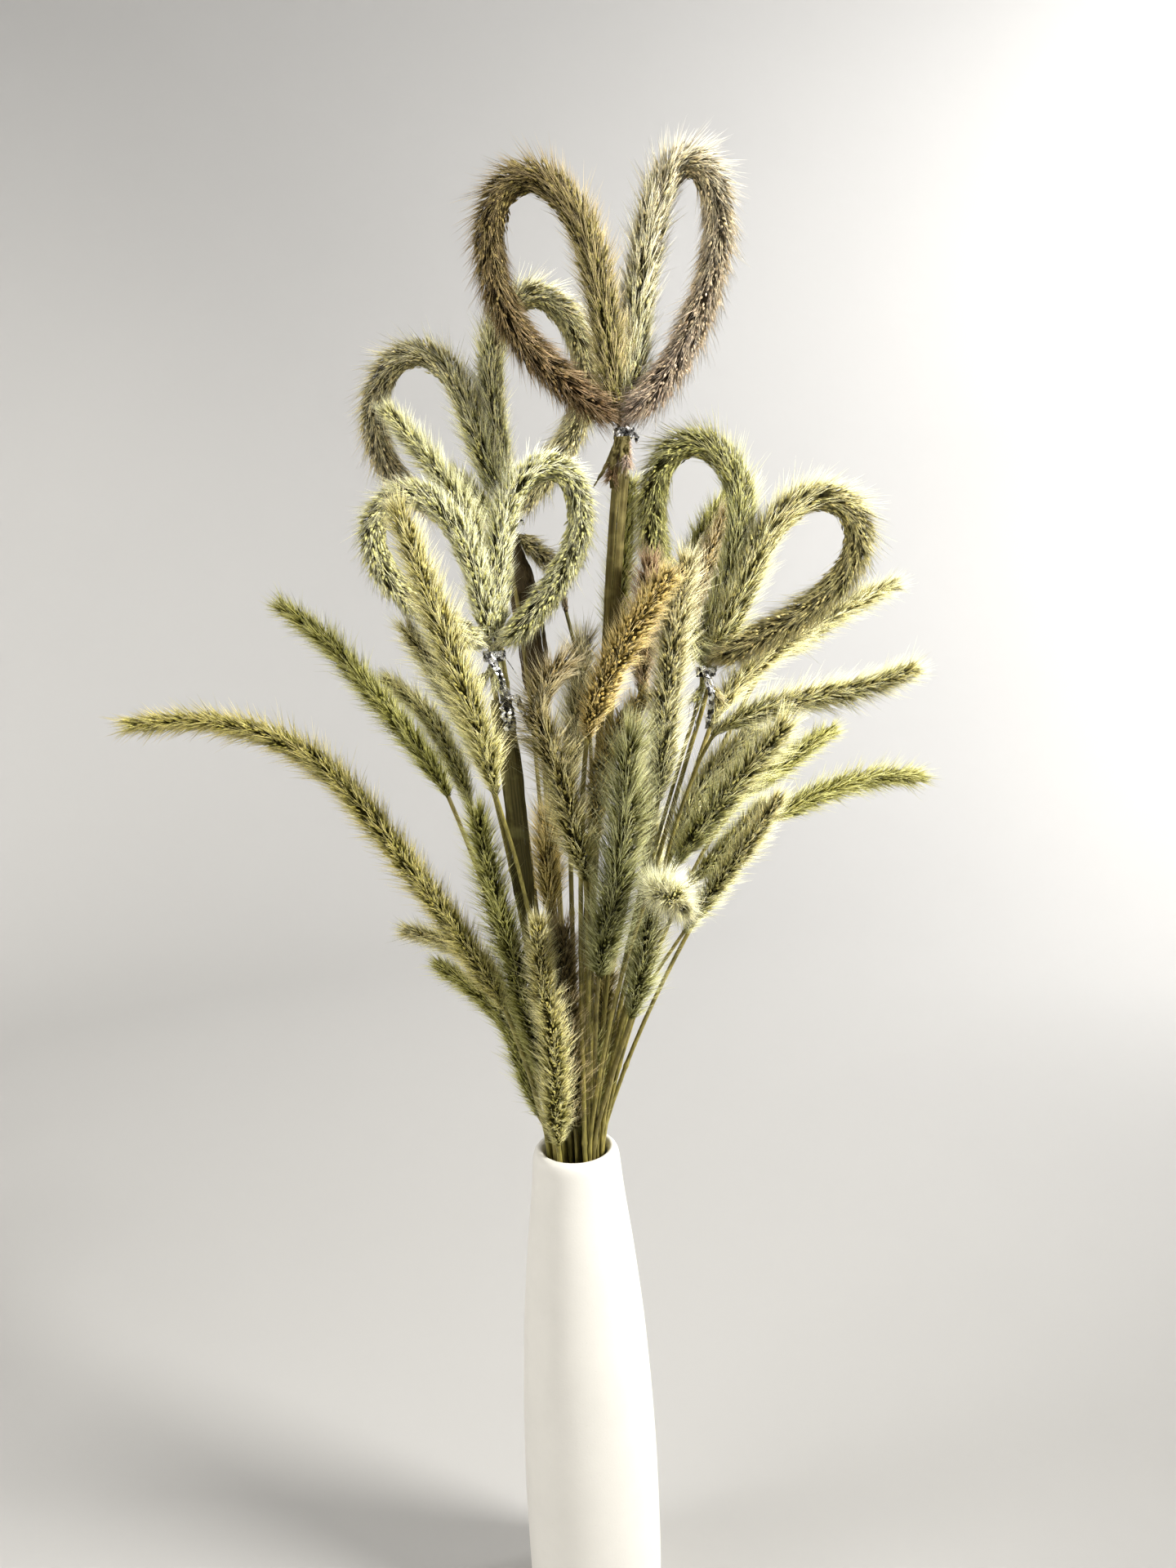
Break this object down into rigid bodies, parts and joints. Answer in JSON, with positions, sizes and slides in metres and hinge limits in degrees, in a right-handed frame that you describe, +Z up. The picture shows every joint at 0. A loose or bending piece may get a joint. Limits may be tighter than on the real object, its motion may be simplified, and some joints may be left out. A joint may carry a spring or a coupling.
{
  "type": "dried foxtail grass in a vase",
  "caption": "Dried foxtail grass bouquet in a slim off-white ceramic vase, bristly arching heads, some bent round and tied with foil into hearts.",
  "frame": {"origin": "middle of the vase's flat foot, on the surface that it stands on", "axes": "+Z up along the vase, +X to the right and -Y to the front as the bouquet is seen"},
  "size_m": [0.4217, 0.1902, 0.8442],
  "materials": {
    "ceramic": "matt off-white glaze",
    "green_grass": "dry green seeds with pale bristles",
    "pale_grass": "pale yellow-green seeds and bristles",
    "golden_grass": "golden seeds with rosy bristles",
    "brown_grass": "dull brown seeds and bristles",
    "tan_grass": "tan seeds with cream bristles",
    "dark_grass": "dark green seeds with pale bristles",
    "foil": "crumpled bright foil",
    "dry_leaf": "ribbed dry leaf"
  },
  "bodies": {
    "root": {"vase": "ceramic", "left_stalk_1": "golden_grass", "left_stalk_2": "dark_grass", "left_stalk_3": "green_grass", "left_stalk_4": "tan_grass", "left_stalk_5": "green_grass", "left_stalk_6": "dark_grass", "left_stalk_7": "green_grass", "left_stalk_8": "dark_grass", "left_stalk_9": "green_grass", "left_stalk_10": "pale_grass", "centre_stalk_1": "tan_grass", "centre_stalk_2": "brown_grass", "centre_stalk_3": "golden_grass", "centre_stalk_4": "dark_grass", "centre_stalk_5": "tan_grass", "centre_stalk_6": "green_grass", "centre_stalk_7": "golden_grass", "centre_stalk_8": "golden_grass", "centre_stalk_9": "green_grass", "centre_stalk_10": "pale_grass", "centre_stalk_11": "pale_grass", "centre_stalk_12": "tan_grass", "centre_stalk_13": "dark_grass", "centre_stalk_14": "brown_grass", "centre_stalk_15": "dark_grass", "centre_stalk_16": "brown_grass", "centre_stalk_17": "golden_grass", "right_stalk_1": "green_grass", "right_stalk_2": "green_grass", "right_stalk_3": "green_grass", "right_stalk_4": "green_grass", "right_stalk_5": "pale_grass", "right_stalk_6": "dark_grass", "right_stalk_7": "dark_grass", "right_stalk_8": "green_grass", "right_stalk_9": "green_grass", "right_stalk_10": "pale_grass", "right_stalk_11": "green_grass", "heart1_left_stalk": "brown_grass", "heart1_right_stalk": "green_grass", "heart2_left_stalk": "green_grass", "heart2_right_stalk": "green_grass", "heart3_left_stalk": "pale_grass", "heart3_right_stalk": "pale_grass", "heart4_left_stalk": "green_grass", "heart4_right_stalk": "green_grass", "heart1_tie": "foil", "heart2_tie": "foil", "heart3_tie": "foil", "heart4_tie": "foil", "heart1_sheath": "dry_leaf", "heart2_sheath": "dry_leaf", "heart3_sheath": "dry_leaf"}
  },
  "joints": []
}
